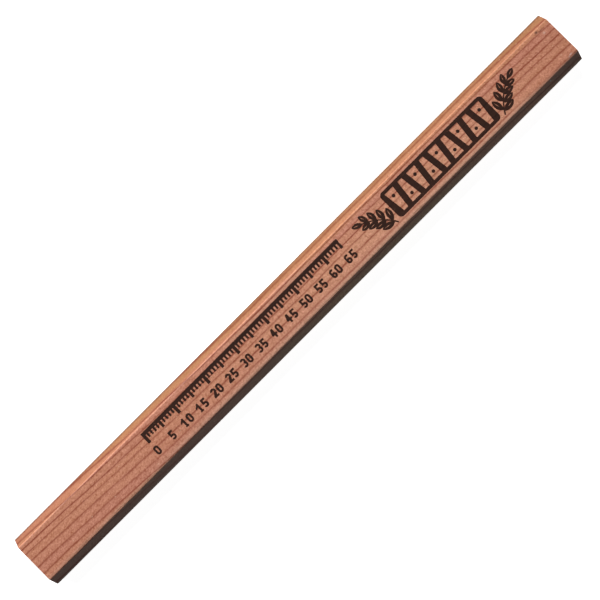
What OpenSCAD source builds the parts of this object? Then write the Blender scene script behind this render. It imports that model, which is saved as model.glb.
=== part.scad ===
// Flat carpenter pencil, unsharpened, natural cedar.
// Two grooved slats are glued face to face around a flat graphite core, then
// the blank is milled to a long eight-sided section that won't roll away.
//
// Frame: +X along the pencil, towards the right-hand end as the imprint reads;
// +Y across the broad face, towards the top edge of the imprint; +Z up out of
// the imprinted face. The origin is the middle of the lower broad face.

/* [Body] */
// Overall length, square-cut end to square-cut end
body_len = 177.8; // [150:0.1:190]
// Width over the two narrow sides
body_w = 14.8; // [13.6:0.1:16]
// Thickness over the two broad faces
body_t = 7.6; // [7:0.1:9]
// Width of each broad face, between its bevels
face_w = 10.6; // [9.4:0.1:11.6]
// Height that each bevel takes off the thickness
bevel_drop = 2.7; // [1.8:0.1:3]
// Softening of the edge between a broad face and a bevel
face_edge_r = 0.45; // [0.1:0.05:0.8]
// Softening of the edge between a bevel and a narrow side
side_edge_r = 0.6; // [0.1:0.05:1]

/* [Core] */
// Width of the flat graphite core
lead_w = 5.0; // [4:0.1:6]
// Thickness of the flat graphite core
lead_t = 2.2; // [1.6:0.1:2.6]
// Corner radius of the core
lead_r = 0.4; // [0.2:0.05:0.7]

/* [Glue] */
// Thickness of the cured glue between the slats
glue_t = 0.1; // [0.06:0.01:0.2]
// Thickness of the glue that beds the core in its groove
bed_t = 0.08; // [0.05:0.01:0.15]
// How far the glue sits back from the milled sides and the cut ends
glue_back = 0.04; // [0.02:0.01:0.1]

/* [Imprint] */
// Thickness of the printed ink film
ink_t = 0.03; // [0.02:0.005:0.06]
// Number of millimetres on the printed scale
scale_mm = 65; // [20:5:65]
// Where the scale's zero stands along the pencil
scale_x0 = -48.9; // [-60:0.1:-40]
// Height of the scale's upper line above the middle of the face
scale_top = 3.8; // [3:0.1:4.2]
// Height of the scale's numerals
digit_h = 2.4; // [1.8:0.1:2.6]
// Weight of the numerals' strokes, as a share of their height
digit_weight = 0.22; // [0.15:0.01:0.25]
// Middle of the printed panel along the pencil
panel_x = 47.9; // [44:0.1:52]
// Length of the printed panel
panel_len = 34; // [30:0.5:36]
// Height of the printed panel
panel_h = 7.7; // [7:0.1:8.4]
// Number of dovetails in the panel
tails = 9; // [5:2:11]

/* [Hidden] */
$fn = 48;
arc_steps = 5;    // segments in a softened corner
wedge_steps = 6;  // segments in the wedge that cuts a ring

// Joint between the slats, and the groove around the core
joint_z = body_t / 2;
film_z = glue_t / 2;            // glue film's face, from the joint's middle plane
groove_y = lead_w / 2 + bed_t;  // groove's side wall
groove_z = lead_t / 2 + bed_t;  // groove's floor, from the same plane
groove_r = lead_r + bed_t;

// Scale: each kind of tick is [length, width]
tick_ten = [3.05, 0.84];
tick_five = [2.7, 0.7];
tick_one = [2.05, 0.54];
scale_line_h = 1;
numeral_drop = 1.25;  // from the longest ticks' ends down to the numerals

// Numerals: two stacked bowls share one stroke, which sets the bowl's radius
stroke = digit_weight * digit_h;
bowl_r = (digit_h + stroke) / 4;
digit_w = 2 * bowl_r;
digit_gap = 0.1 * digit_h;
low_bowl = bowl_r;             // heights of the bowls' middles
high_bowl = digit_h - bowl_r;

// Panel
panel_corner_r = 1.1;
panel_end_margin = 0.8;  // solid ink beyond the row of dovetail pitches
tail_pitch = (panel_len - 2 * panel_end_margin) / tails;
tail_h = panel_h - 2 * 0.9;  // leaves a border above and below
tail_wide = 0.76 * tail_pitch;
tail_narrow = 0.36 * tail_pitch;
peg_r = 0.44;
peg_y = 0.22 * tail_h;  // from the panel's middle towards the tail's wide end

// Sprigs
sprig_gap = 0.8;   // from the panel's end
sprig_lift = 0.2;  // above the face's middle
stem_centre = [-12.25, -11.2];
stem_r = 14;
stem_w = 0.34;
first_leaf_a = 33;  // angles around the stem's centre
last_leaf_a = 66;
leaf_pairs = 4;

// ---------- outline helpers ----------

// Corner i of a closed outline as points: a tangent arc of the given radius, or
// the corner itself where the radius is 0.
function corner(outline, i, radius) =
    let (count = len(outline),
         tip = outline[i],
         before = outline[(i + count - 1) % count] - tip,
         after = outline[(i + 1) % count] - tip,
         dir_in = before / norm(before),
         dir_out = after / norm(after),
         half = acos(dir_in * dir_out) / 2)
    radius == 0 ? [tip] :
    let (centre = tip + (dir_in + dir_out) / norm(dir_in + dir_out) * radius / sin(half),
         start = tip + dir_in * radius / tan(half) - centre,
         end = tip + dir_out * radius / tan(half) - centre,
         start_a = atan2(start.y, start.x),
         // the shorter way round, from -180 to 180
         sweep = (atan2(end.y, end.x) - start_a + 900) % 360 - 180)
    [for (k = [0 : arc_steps])
        centre + radius * on_circle(start_a + sweep * k / arc_steps)];

// A closed outline with its corners softened, radii given corner by corner.
function softened(outline, radii) =
    [for (i = [0 : len(outline) - 1]) each corner(outline, i, radii[i])];

function on_circle(angle) = [cos(angle), sin(angle)];

// Runs a cross-section along the pencil, stopping short of each end by the
// amount given. It is drawn as Y and Z from the joint's middle plane.
module along_body(short = 0) {
    translate([-body_len / 2 + short, 0, 0])
        rotate([90, 0, 90])
            linear_extrude(height = body_len - 2 * short)
                translate([0, joint_z]) children();
}

// ---------- casing ----------

// Upper slat's section: two bevels above, and half the core's groove below.
module slat_section() {
    side_y = body_w / 2;
    face_y = face_w / 2;
    face_z = body_t - joint_z;
    bevel_z = face_z - bevel_drop;
    polygon(softened(
        [[side_y, film_z], [side_y, bevel_z], [face_y, face_z],
         [-face_y, face_z], [-side_y, bevel_z], [-side_y, film_z],
         [-groove_y, film_z], [-groove_y, groove_z],
         [groove_y, groove_z], [groove_y, film_z]],
        [0, side_edge_r, face_edge_r,
         face_edge_r, side_edge_r, 0,
         0, groove_r,
         groove_r, 0]));
}

module upper_slat() {
    color([0.72, 0.47, 0.38]) along_body() slat_section();
}

module lower_slat() {
    color([0.70, 0.46, 0.37]) along_body() mirror([0, 1]) slat_section();
}

// ---------- core and glue ----------

module lead_section() {
    y = lead_w / 2;
    z = lead_t / 2;
    polygon(softened([[y, -z], [y, z], [-y, z], [-y, -z]],
                     [lead_r, lead_r, lead_r, lead_r]));
}

module lead_core() {
    color([0.23, 0.23, 0.25]) along_body() lead_section();
}

// The cured glue is one body: a film between the slats on each side, and a
// sleeve that beds the core.
module glue_line() {
    edge_y = body_w / 2 - glue_back;
    color([0.80, 0.66, 0.46])
        along_body(short = glue_back) difference() {
            polygon(softened(
                [[edge_y, -film_z], [edge_y, film_z],
                 [groove_y, film_z], [groove_y, groove_z],
                 [-groove_y, groove_z], [-groove_y, film_z],
                 [-edge_y, film_z], [-edge_y, -film_z],
                 [-groove_y, -film_z], [-groove_y, -groove_z],
                 [groove_y, -groove_z], [groove_y, -film_z]],
                [0, 0, 0, groove_r, groove_r, 0, 0, 0, 0, groove_r, groove_r, 0]));
            lead_section();
        }
}

// ---------- imprint helpers ----------

module ink() {
    color([0.16, 0.12, 0.11])
        translate([0, 0, body_t])
            linear_extrude(height = ink_t) children();
}

// Part of a ring about the origin, from one angle to another.
module ring_part(outer_r, thick, from, to) {
    reach = 3 * outer_r;  // takes the wedge's chords clear of the ring
    intersection() {
        difference() {
            circle(outer_r);
            circle(outer_r - thick);
        }
        polygon([[0, 0], for (k = [0 : wedge_steps])
                             reach * on_circle(from + (to - from) * k / wedge_steps)]);
    }
}

// ---------- numerals, lower left corner at the origin ----------

module bowl(height, from, to) {
    translate([bowl_r, height]) ring_part(bowl_r, stroke, from, to);
}

// Upright oval, drawn in from the numeral's edge by the inset.
module oval(inset) {
    for (height = [low_bowl, high_bowl])
        translate([bowl_r, height]) circle(bowl_r - inset);
    translate([inset, low_bowl]) square([digit_w - 2 * inset, high_bowl - low_bowl]);
}

module zero() {
    difference() {
        oval(0);
        oval(stroke);
    }
}

// Upright, foot and flag.
module one() {
    flag_x = bowl_r - 1.7 * stroke;
    translate([bowl_r - stroke / 2, 0]) square([stroke, digit_h]);
    translate([0.2 * digit_w, 0]) square([0.6 * digit_w, 0.8 * stroke]);
    polygon([[bowl_r, digit_h], [flag_x, digit_h - 1.35 * stroke],
             [flag_x, digit_h - 2.2 * stroke], [bowl_r, digit_h - 1.3 * stroke]]);
}

// Upper bowl, slanting stroke and foot.
module two() {
    bowl_end = -38;
    overlap = 0.02;
    centre = [bowl_r, high_bowl];
    bowl(high_bowl, bowl_end, 175);
    polygon([centre + bowl_r * on_circle(bowl_end),
             centre + (bowl_r - stroke) * on_circle(bowl_end) + [-overlap, overlap],
             [0, 0.95 * stroke], [0, 0], [1.5 * stroke, 0]]);
    square([digit_w, stroke]);
}

module three() {
    bowl(high_bowl, -90, 155);
    bowl(low_bowl, -155, 90);
}

// Upright, crossbar and slanting stroke.
module four() {
    bar_y = 1.3 * stroke;
    translate([digit_w - 1.7 * stroke, 0]) square([stroke, digit_h]);
    translate([0, bar_y]) square([digit_w, stroke]);
    polygon([[0, bar_y], [1.2 * stroke, bar_y], [digit_w - 0.8 * stroke, digit_h],
             [digit_w - 1.75 * stroke, digit_h], [0, bar_y + stroke]]);
}

// Top bar, short upright and lower bowl.
module five() {
    left = 0.08 * digit_w;
    foot = digit_w - stroke;
    translate([left, digit_h - stroke]) square([0.86 * digit_w, stroke]);
    translate([left, foot]) square([stroke, digit_h - foot]);
    bowl(low_bowl, -155, 127);
}

// Closed lower bowl, left side and upper hook.
module six() {
    bowl(low_bowl, 0, 180);
    bowl(low_bowl, 180, 360);
    translate([0, low_bowl]) square([stroke, high_bowl - low_bowl]);
    bowl(high_bowl, 35, 180);
}

module digit(value) {
    if (value == 0) zero();
    if (value == 1) one();
    if (value == 2) two();
    if (value == 3) three();
    if (value == 4) four();
    if (value == 5) five();
    if (value == 6) six();
}

// A whole number of one or two digits, centred on x.
module numeral(value) {
    if (value < 10) translate([-digit_w / 2, 0]) digit(value);
    else {
        translate([-digit_w - digit_gap / 2, 0]) digit(floor(value / 10));
        translate([digit_gap / 2, 0]) digit(value % 10);
    }
}

// ---------- imprint ----------

// Millimetre scale: a line along the top with ticks hanging from it, and a
// numeral under each fifth tick.
module printed_scale() {
    line_len = scale_mm + tick_ten[1];
    numeral_y = scale_top - tick_ten[0] - numeral_drop - digit_h;
    ink() {
        union() {
            translate([scale_x0 - tick_ten[1] / 2, scale_top - scale_line_h])
                square([line_len, scale_line_h]);
            for (i = [0 : scale_mm]) {
                tick = i % 10 == 0 ? tick_ten : i % 5 == 0 ? tick_five : tick_one;
                translate([scale_x0 + i - tick[1] / 2, scale_top - tick[0]])
                    square([tick[1], tick[0]]);
            }
        }
        for (i = [0 : 5 : scale_mm])
            translate([scale_x0 + i, numeral_y]) numeral(i);
    }
}

// Repeats its children at each dovetail, every second one upside down.
module at_tails() {
    for (i = [0 : tails - 1])
        translate([panel_x + (i - (tails - 1) / 2) * tail_pitch, 0])
            mirror([0, i % 2]) children();
}

// Solid panel with a row of dovetails left bare, each with a peg in it.
module printed_panel() {
    inner = [panel_len, panel_h] - 2 * panel_corner_r * [1, 1];
    ink() {
        difference() {
            translate([panel_x, 0]) union() {
                square([inner.x, panel_h], center = true);
                square([panel_len, inner.y], center = true);
                for (a = [-1, 1], b = [-1, 1])
                    translate([a * inner.x, b * inner.y] / 2) circle(panel_corner_r);
            }
            at_tails()
                polygon([[-tail_narrow, -tail_h] / 2, [tail_narrow, -tail_h] / 2,
                         [tail_wide, tail_h] / 2, [-tail_wide, tail_h] / 2]);
        }
        at_tails() translate([0, peg_y]) circle(peg_r);
    }
}

// One pointed leaf growing along +X from the origin, with a bare midrib.
module leaf(length, width) {
    side_r = (length * length + width * width) / (4 * width);
    rib_y = 0.07;
    difference() {
        intersection() {
            translate([length / 2, width / 2 - side_r]) circle(side_r);
            translate([length / 2, side_r - width / 2]) circle(side_r);
        }
        polygon([[0.38 * length, 0], [0.55 * length, -rib_y],
                 [0.84 * length, 0], [0.55 * length, rib_y]]);
    }
}

// An arched sprig rising to the left, its leaves in pairs that shrink and
// close up towards the tip. Side 1 is the inside of the arch.
module sprig() {
    translate(stem_centre) {
        ring_part(stem_r + stem_w / 2, stem_w, first_leaf_a - 3, last_leaf_a + 2);
        for (k = [0 : leaf_pairs - 1], side = [-1, 1]) {
            stagger = side > 0 ? 0.1 : 0.25;
            angle = first_leaf_a + (last_leaf_a - first_leaf_a) * (k + stagger) / leaf_pairs;
            translate((stem_r - side * 0.1) * on_circle(angle))
                rotate(angle + 90 + side * (46 - 3 * k))
                    leaf(length = 3.55 - 0.25 * k, width = 1.62 - 0.06 * k);
        }
        translate(stem_r * on_circle(last_leaf_a))
            rotate(last_leaf_a + 93) leaf(length = 2.9, width = 1.4);
    }
}

// One sprig beside each end of the panel.
module printed_sprigs() {
    ink() for (side = [0, 1])
        translate([panel_x, 0]) mirror([side, 0])
            translate([-panel_len / 2 - sprig_gap, sprig_lift]) sprig();
}

upper_slat();
lower_slat();
lead_core();
glue_line();
printed_scale();
printed_panel();
printed_sprigs();
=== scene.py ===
"""Flat carpenter pencil in natural cedar: the looks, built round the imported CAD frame.

The pencil lies along X, centred, with its width along Y and its printed broad face up (+Z).
The key light comes from +Y, so the bevel at y > 0 is lit and the one at y < 0 is shaded.
Lengths are in millimetres unless a comment says otherwise.
"""
import math
from types import SimpleNamespace

import bmesh
import bpy
import numpy as np
from mathutils import Matrix, Vector


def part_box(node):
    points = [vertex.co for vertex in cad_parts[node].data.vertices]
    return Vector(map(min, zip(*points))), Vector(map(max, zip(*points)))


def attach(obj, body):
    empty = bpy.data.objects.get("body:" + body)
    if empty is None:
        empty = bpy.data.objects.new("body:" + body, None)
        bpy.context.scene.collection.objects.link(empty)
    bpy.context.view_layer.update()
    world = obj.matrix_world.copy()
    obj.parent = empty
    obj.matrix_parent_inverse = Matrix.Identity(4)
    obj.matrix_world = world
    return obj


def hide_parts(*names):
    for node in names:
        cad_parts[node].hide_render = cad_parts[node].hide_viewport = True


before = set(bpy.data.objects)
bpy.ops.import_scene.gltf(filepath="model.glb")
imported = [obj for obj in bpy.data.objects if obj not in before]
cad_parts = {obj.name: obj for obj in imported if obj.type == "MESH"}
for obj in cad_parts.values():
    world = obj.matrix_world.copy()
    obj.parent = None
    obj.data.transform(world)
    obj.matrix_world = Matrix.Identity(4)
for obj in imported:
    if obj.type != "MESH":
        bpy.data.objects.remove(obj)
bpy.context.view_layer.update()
MM = 0.001  # metres

# ---------------------------------------------------------------- sizes, from the CAD nodes


def span(node):
    """Low and high corners of a CAD node's box."""
    low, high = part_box(node)
    return np.array(low) / MM, np.array(high) / MM


upper_low, upper_high = span("upper_slat")
core_high = span("lead_core")[1]
HALF_LENGTH = float(upper_high[0] - upper_low[0]) / 2
HALF_W = float(upper_high[1])
TOP = float(upper_high[2])
MID = TOP / 2
JOINT = float(upper_low[2]) - MID  # joint face of a slat, measured from the middle plane
HALF_FACE = 5.3  # half of the broad face, edge to edge
BEVEL_DROP = 2.7  # height each bevel takes off
EDGE_R = 0.42  # softened edges of the broad face
SIDE_R = 0.55  # softened widest edges
END_R = 0.10  # softened corners at the trimmed ends
WIDEST = HALF_FACE + 1.0  # beyond this |y| only the widest edges lie
CORE_GAP = 0.08
GROOVE_Y = float(core_high[1]) + CORE_GAP
GROOVE_Z = float(core_high[2]) - MID + CORE_GAP
GROOVE_R = 0.48
END_BANDS = 20  # rows of faces from an end's outline in to the groove

# ---------------------------------------------------------------- growth rings
# A ring coordinate runs across the slat. The lines lie at fixed places on it, and the drift
# curve bends them slowly along the length, as a slat cut a little off the grain does.

RING_STEPS = [1.9, 1.7, 1.85, 1.6, 1.8, 2.0, 1.65, 1.5, 1.66, 1.4, 2.0, 2.15, 1.88, 1.96, 1.8, 1.7]
FIRST_RING = 13.55  # ring coordinate of the highest line
LINES = np.subtract.accumulate([FIRST_RING] + RING_STEPS)[::-1]
RINGS = len(RING_STEPS)
RING_WIDTH = 1.8  # width taken for every ring when measuring from its line
RING_LOW, RING_HIGH = -16.0, 14.0  # range of the ring coordinate in the material's curve
DRIFT_X = [-89, -65, -40, -10, 20, 50, 75, 89]
DRIFT_Y = [6.31, 5.38, 4.19, 3.64, 3.54, 3.39, 3.11, 2.55]
DRIFT_REACH, DRIFT_MAX = 90, 8.0  # ranges of x and drift in the material's curve
# how strongly each line shows, from the lowest up
LINE_WEIGHT = [
    1.0, 1.0, 1.0, 0.74, 0.88, 1.14, 0.8, 1.17, 0.93, 1.1, 0.8, 1.0, 1.0, 1.0, 1.0, 1.0, 1.0,
]

# How each slat samples the same wood (signs, shifts, tilt of the ring planes, height of its
# broad face), which way it faces, and how finely it is meshed
SLATS = {
    "upper": SimpleNamespace(
        x_sign=1.0, x_shift=0.0, y_sign=1.0, y_shift=0.0, tilt=math.radians(11.0), face_z=TOP,
        bent=True, up=1, step=0.19, rows=400, seed=11,
    ),
    "lower": SimpleNamespace(
        x_sign=-1.0, x_shift=7.0, y_sign=-1.0, y_shift=3.1, tilt=math.radians(-17.0), face_z=0.0,
        bent=False, up=-1, step=0.26, rows=300, seed=29,
    ),
}
# Stretches where the lit bevel cuts the rings nearer the broad face: middle x, half width, depth
BENDS = [(-56.0, 12.5, 0.31), (13.0, 22.0, 0.30), (64.0, 9.0, 0.08)]
BEND_Y, BEND_RISE = 5.2, 0.7  # where the bends set in, and over what width
# A swell in one ring by the +Y edge of the broad face: middle x and y, half widths, depth
SWELL = (50.0, 4.8, 11.0, 0.8, -0.235)
# Slow waves in the rings: depth, radians per mm along x and y, phase
WOBBLE = [(0.10, 0.11, 0.30, 1.3), (0.05, 0.31, 0.7, 0.4), (0.022, 0.83, 1.9, 2.2)]


def smooth_curve(knots_x, knots_y, x):
    """Natural cubic spline through a few points."""
    knots_x, knots_y = np.array(knots_x, float), np.array(knots_y, float)
    count = len(knots_x)
    gap = np.diff(knots_x)
    matrix = np.zeros((count, count))
    target = np.zeros(count)
    matrix[0, 0] = matrix[-1, -1] = 1
    for i in range(1, count - 1):
        matrix[i, i - 1 : i + 2] = gap[i - 1], 2 * (gap[i - 1] + gap[i]), gap[i]
        rise, next_rise = knots_y[i] - knots_y[i - 1], knots_y[i + 1] - knots_y[i]
        target[i] = 6 * (next_rise / gap[i] - rise / gap[i - 1])
    bend = np.linalg.solve(matrix, target)
    x = np.clip(np.asarray(x, float), knots_x[0], knots_x[-1])
    k = np.clip(np.searchsorted(knots_x, x) - 1, 0, count - 2)
    to_next, from_last = knots_x[k + 1] - x, x - knots_x[k]
    return (
        (bend[k] * to_next**3 + bend[k + 1] * from_last**3) / (6 * gap[k])
        + (knots_y[k] / gap[k] - bend[k] * gap[k] / 6) * to_next
        + (knots_y[k + 1] / gap[k] - bend[k + 1] * gap[k] / 6) * from_last
    )


def ring_number(slat, x, y, z):
    """The ring number at a point of a slat, the same as the material works out."""
    wood_x = slat.x_sign * x + slat.x_shift
    wood_y = slat.y_sign * y + slat.y_shift
    across = wood_y * math.cos(slat.tilt) + (z - slat.face_z) * math.sin(slat.tilt)
    across = across - smooth_curve(DRIFT_X, DRIFT_Y, wood_x)
    for depth, rate_x, rate_y, phase in WOBBLE:
        across = across + depth * np.sin(rate_x * wood_x + rate_y * wood_y + phase)
    if slat.bent:
        rise = np.clip((y - BEND_Y) / BEND_RISE, 0, 1)
        for at, width, depth in BENDS:
            bump = np.exp(-(((x - at) / width) ** 2))
            across = across + depth * rise * rise * (3 - 2 * rise) * bump
        at_x, at_y, width_x, width_y, depth = SWELL
        bump = np.exp(-(((x - at_x) / width_x) ** 2) - ((y - at_y) / width_y) ** 2)
        across = across + depth * bump
    return np.interp(across, LINES, np.arange(RINGS + 1))


# ---------------------------------------------------------------- seeded noise for the meshes

REACH_X, REACH_Y = 200, 40  # how far the noise runs each way from the middle


def noise_line(rng, x, step):
    """Smooth noise in [-1, 1] along one axis."""
    count = int(2 * REACH_X / step) + 8
    values = rng.uniform(-1, 1, count)
    place = (x + REACH_X) / step
    i = np.clip(np.floor(place).astype(int), 1, count - 3)
    part = place - i
    before, left, right, after = values[i - 1], values[i], values[i + 1], values[i + 2]
    cubic = 3 * (left - right) + after - before
    square = 2 * before - 5 * left + 4 * right - after + part * cubic
    return left + 0.5 * part * (right - before + part * square)


def noise_plane(rng, x, y, step_x, step_y):
    """Smooth noise in [-1, 1] over a plane, with its own step on each axis."""
    count_x, count_y = int(2 * REACH_X / step_x) + 6, int(2 * REACH_Y / step_y) + 6
    values = rng.uniform(-1, 1, (count_x, count_y))
    place_x, place_y = (x + REACH_X) / step_x, (y + REACH_Y) / step_y
    i = np.clip(np.floor(place_x).astype(int), 0, count_x - 2)
    j = np.clip(np.floor(place_y).astype(int), 0, count_y - 2)
    part_x, part_y = place_x - i, place_y - j
    part_x, part_y = part_x * part_x * (3 - 2 * part_x), part_y * part_y * (3 - 2 * part_y)
    return (
        values[i, j] * (1 - part_x) * (1 - part_y)
        + values[i + 1, j] * part_x * (1 - part_y)
        + values[i, j + 1] * (1 - part_x) * part_y
        + values[i + 1, j + 1] * part_x * part_y
    )


def positive(noise):
    """Noise in [-1, 1] brought to [0, 1]."""
    return 0.5 + 0.5 * noise


# ---------------------------------------------------------------- section of a slat
# Sections are (y, height above the middle plane), mirrored in height for the lower slat.


def outward(run):
    """Unit normal to the right of a run along the outline."""
    return np.array([run[1], -run[0]]) / np.linalg.norm(run)


def arc(corner, before, after, radius, count):
    """Points, normals and softness tags of a tangent arc at a corner between two others."""
    back = (before - corner) / np.linalg.norm(before - corner)
    ahead = (after - corner) / np.linalg.norm(after - corner)
    half = math.acos(float(back @ ahead)) / 2
    both = back + ahead
    centre = corner + both / np.linalg.norm(both) * radius / math.sin(half)
    start = corner + back * radius / math.tan(half) - centre
    end = corner + ahead * radius / math.tan(half) - centre
    first = math.atan2(start[1], start[0])
    sweep = (math.atan2(end[1], end[0]) - first + math.pi * 5) % (2 * math.pi) - math.pi
    points = []
    for k in range(count + 1):
        angle = first + sweep * k / count
        normal = np.array([math.cos(angle), math.sin(angle)])
        points.append((centre + radius * normal, normal, math.sin(math.pi * k / count)))
    return points


def outer_path(step):
    """Half section of a slat: points, outward normals and a tag that is 0 on flats and rises
    to 1 in the middle of a softened edge."""
    # y, height, radius, arc segments
    right = [
        (HALF_W, JOINT, 0, 0),
        (HALF_W, MID - BEVEL_DROP, SIDE_R, 6),
        (HALF_FACE, MID, EDGE_R, 8),
    ]
    outline = right + [(-y, *rest) for y, *rest in right[::-1]]
    corners = [np.array(entry[:2]) for entry in outline]
    section = []
    for i, corner in enumerate(corners):
        radius, segments = outline[i][2:]
        if radius:
            new = arc(corner, corners[i - 1], corners[i + 1], radius, segments)
        else:
            k = max(i, 1)
            new = [(corner, outward(corners[k] - corners[k - 1]), 0.0)]
        if section:
            start = section[-1][0]
            run = new[0][0] - start
            count = max(1, int(round(np.linalg.norm(run) / step)))
            normal = outward(run)
            section += [(start + run * j / count, normal, 0.0) for j in range(1, count)]
        section += new
    return [np.array(column) for column in zip(*section)]


def inner_path(outer):
    """Joint face and half groove, with as many points as the outer path."""
    joint_count = int(np.argmin(np.abs(outer[:, 0] - HALF_FACE * 0.985)))
    joint = [(HALF_W + (GROOVE_Y - HALF_W) * k / joint_count, JOINT) for k in range(joint_count)]
    arc_y, arc_z = GROOVE_Y - GROOVE_R, GROOVE_Z - GROOVE_R
    wall = [(GROOVE_Y, JOINT), (GROOVE_Y, (JOINT + arc_z) / 2)]
    for angle in np.linspace(0, math.pi / 2, 6):
        wall.append((arc_y + GROOVE_R * math.cos(angle), arc_z + GROOVE_R * math.sin(angle)))
    right = joint + wall
    ceiling_count = len(outer) - 2 * len(right)
    edge = wall[-1][0]
    ceiling = [
        (edge + (-edge - edge) * (k + 1) / (ceiling_count + 1), GROOVE_Z)
        for k in range(ceiling_count)
    ]
    return np.array(right + ceiling + [(-y, z) for y, z in right[::-1]])


# ---------------------------------------------------------------- relief

# Noise layers: depth, step along and across
FACE_LAYERS = [(0.006, 9.0, 2.5), (0.0035, 1.4, 0.6)]
CUT_LAYERS = [(0.004, 0.35, 0.35), (0.004, 1.6, 1.6)]
LINE_HALF_WIDTH = 0.2  # of the harder late wood, which stands proud
EARLY_DEPTH = 0.007  # of the softer wood between the lines
KNIFE_PITCH, KNIFE_DEPTH = 1.55, 0.0012
JOINT_EDGE_DEPTH = 0.006
KNOCK_X = 86  # knocks lie within this distance of the middle
BLADE_CENTRES = {-1: (38.0, -22.0), 1: (-34.0, -26.0)}  # y and z, for the -X and +X ends
BLADE_PITCH, BLADE_DEPTH = 0.62, 0.006


def slat_relief(slat, x, around, y, z, mark):
    """Depth that the surface sits inside the milled section. Never negative."""
    rng = np.random.default_rng(slat.seed)
    number = ring_number(slat, x, y, z)
    near = np.abs(number - np.round(number)) * RING_WIDTH
    relief = EARLY_DEPTH * (1 - np.exp(-((near / LINE_HALF_WIDTH) ** 2)))
    for depth, step_x, step_y in FACE_LAYERS:
        relief += depth * positive(noise_plane(rng, x, around, step_x, step_y))
    # faint knife marks from the moulding head, across the grain
    turns = x / KNIFE_PITCH + 0.06 * noise_plane(rng, x, around, 20, 6)
    relief += KNIFE_DEPTH * positive(np.sin(2 * math.pi * turns))
    # the long edges are worn unevenly, the widest ones least
    wear = positive(noise_line(rng, x + 3 * np.sign(y), step=7.0))
    fine_wear = positive(noise_line(rng, x + 11 * np.sign(y), step=1.9))
    widest = np.clip((np.abs(y) - WIDEST) / 0.3, 0, 1)
    relief *= 1 - 0.45 * widest
    relief += mark * (1 - 0.8 * widest) * (0.012 + 0.035 * wear * wear + 0.012 * fine_wear)
    # small knocks anywhere, longer along the grain
    for _ in range(46):
        at_x, at_around = rng.uniform(-KNOCK_X, KNOCK_X), rng.uniform(-9.5, 9.5)
        depth, radius = rng.uniform(0.008, 0.035), rng.uniform(0.18, 0.55)
        square = ((x - at_x) ** 2 * 0.45 + (around - at_around) ** 2) / radius**2
        relief += depth * np.exp(-square * 1.6)
    # knocks in the long edges
    for side in (-1, 1):
        for _ in range(7):
            at_x = rng.uniform(-KNOCK_X, KNOCK_X)
            depth, radius = rng.uniform(0.02, 0.07), rng.uniform(0.3, 0.9)
            relief += mark * (np.sign(y) == side) * depth * np.exp(-(((x - at_x) / radius) ** 2))
    return relief


def cut_relief(rng, y, z, end):
    """Depth of the trimming cut in an end face: shallow arcs from a round blade, open pores."""
    centre_y, centre_z = BLADE_CENTRES[end]
    radius = np.hypot(y - centre_y, z - centre_z)
    waver = 1.5 * noise_plane(rng, y, z, 2.2, 2.2)
    relief = BLADE_DEPTH * positive(np.sin(2 * math.pi * radius / BLADE_PITCH + waver))
    for depth, step_y, step_z in CUT_LAYERS:
        relief += depth * positive(noise_plane(rng, y, z, step_y, step_z))
    return relief


# ---------------------------------------------------------------- casing meshes


def add_object(name, data):
    ob = bpy.data.objects.new(name, data)
    bpy.context.scene.collection.objects.link(ob)
    return ob


def add_piece(mesh, node, sharp):
    """Shade a mesh and hang it on the frame in place of a CAD node; sharp is in degrees."""
    mesh.shade_smooth()
    mesh.set_sharp_from_angle(angle=math.radians(sharp))
    ob = add_object(mesh.name, mesh)
    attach(ob, "root")
    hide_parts(node)
    return ob


def slat_rows(count):
    """Place along X and inset of each row, with the end corners rounded."""
    start = HALF_LENGTH - END_R
    corner = [
        (start + END_R * math.sin(turn), END_R * (1 - math.cos(turn)))
        for turn in (math.pi / 2, math.pi / 3, math.pi / 6)
    ]
    straight = [(x, 0.0) for x in np.linspace(-start, start, count)]
    return np.array([(-x, inset) for x, inset in corner] + straight + corner[::-1])


def milled_surface(slat, path, normal, mark):
    """Grids of x, y and section height over the milled outside, and the painted highlight and
    shade of its long edges.
    """
    rng = np.random.default_rng(slat.seed + 5)
    around = np.concatenate([[0], np.cumsum(np.linalg.norm(np.diff(path, axis=0), axis=1))])
    around -= around[-1] / 2
    rows = slat_rows(slat.rows)
    blank = np.zeros((len(rows), len(path)))
    x, inset, around = blank + rows[:, :1], blank + rows[:, 1:], blank + around
    y, z = blank + path[:, 0], blank + (MID + slat.up * path[:, 1])
    depth = slat_relief(slat, x, around, y, z, blank + mark)
    depth[:, 0] = depth[:, -1] = JOINT_EDGE_DEPTH  # a straight joint edge
    # end corners lose a little extra in places
    worn = 0.03 * positive(noise_plane(rng, around, np.sign(x) * 20, 1.3, 3.0))
    move = inset + (depth + np.where(inset > 0, worn, 0))
    moved_y = path[:, 0] - normal[:, 0] * move
    height = path[:, 1] - normal[:, 1] * move
    height[:, 0] = height[:, -1] = path[0, 1]
    # painted highlight, positive, on the broad face's edges, and painted shade, negative, on the
    # widest edges
    side = np.sign(path[None, :, 0])
    edge_light_strength = 0.72 + 0.38 * positive(noise_line(rng, rows[:, :1] + 17 * side, step=13.0))
    edge_light_strength = edge_light_strength + 0.16 * noise_line(rng, rows[:, :1] + 29 * side, step=2.6)
    painted_edge_light = np.where(np.abs(path[:, 0]) > WIDEST, -mark, mark)[None, :] * edge_light_strength
    return x, moved_y, height, painted_edge_light


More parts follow.
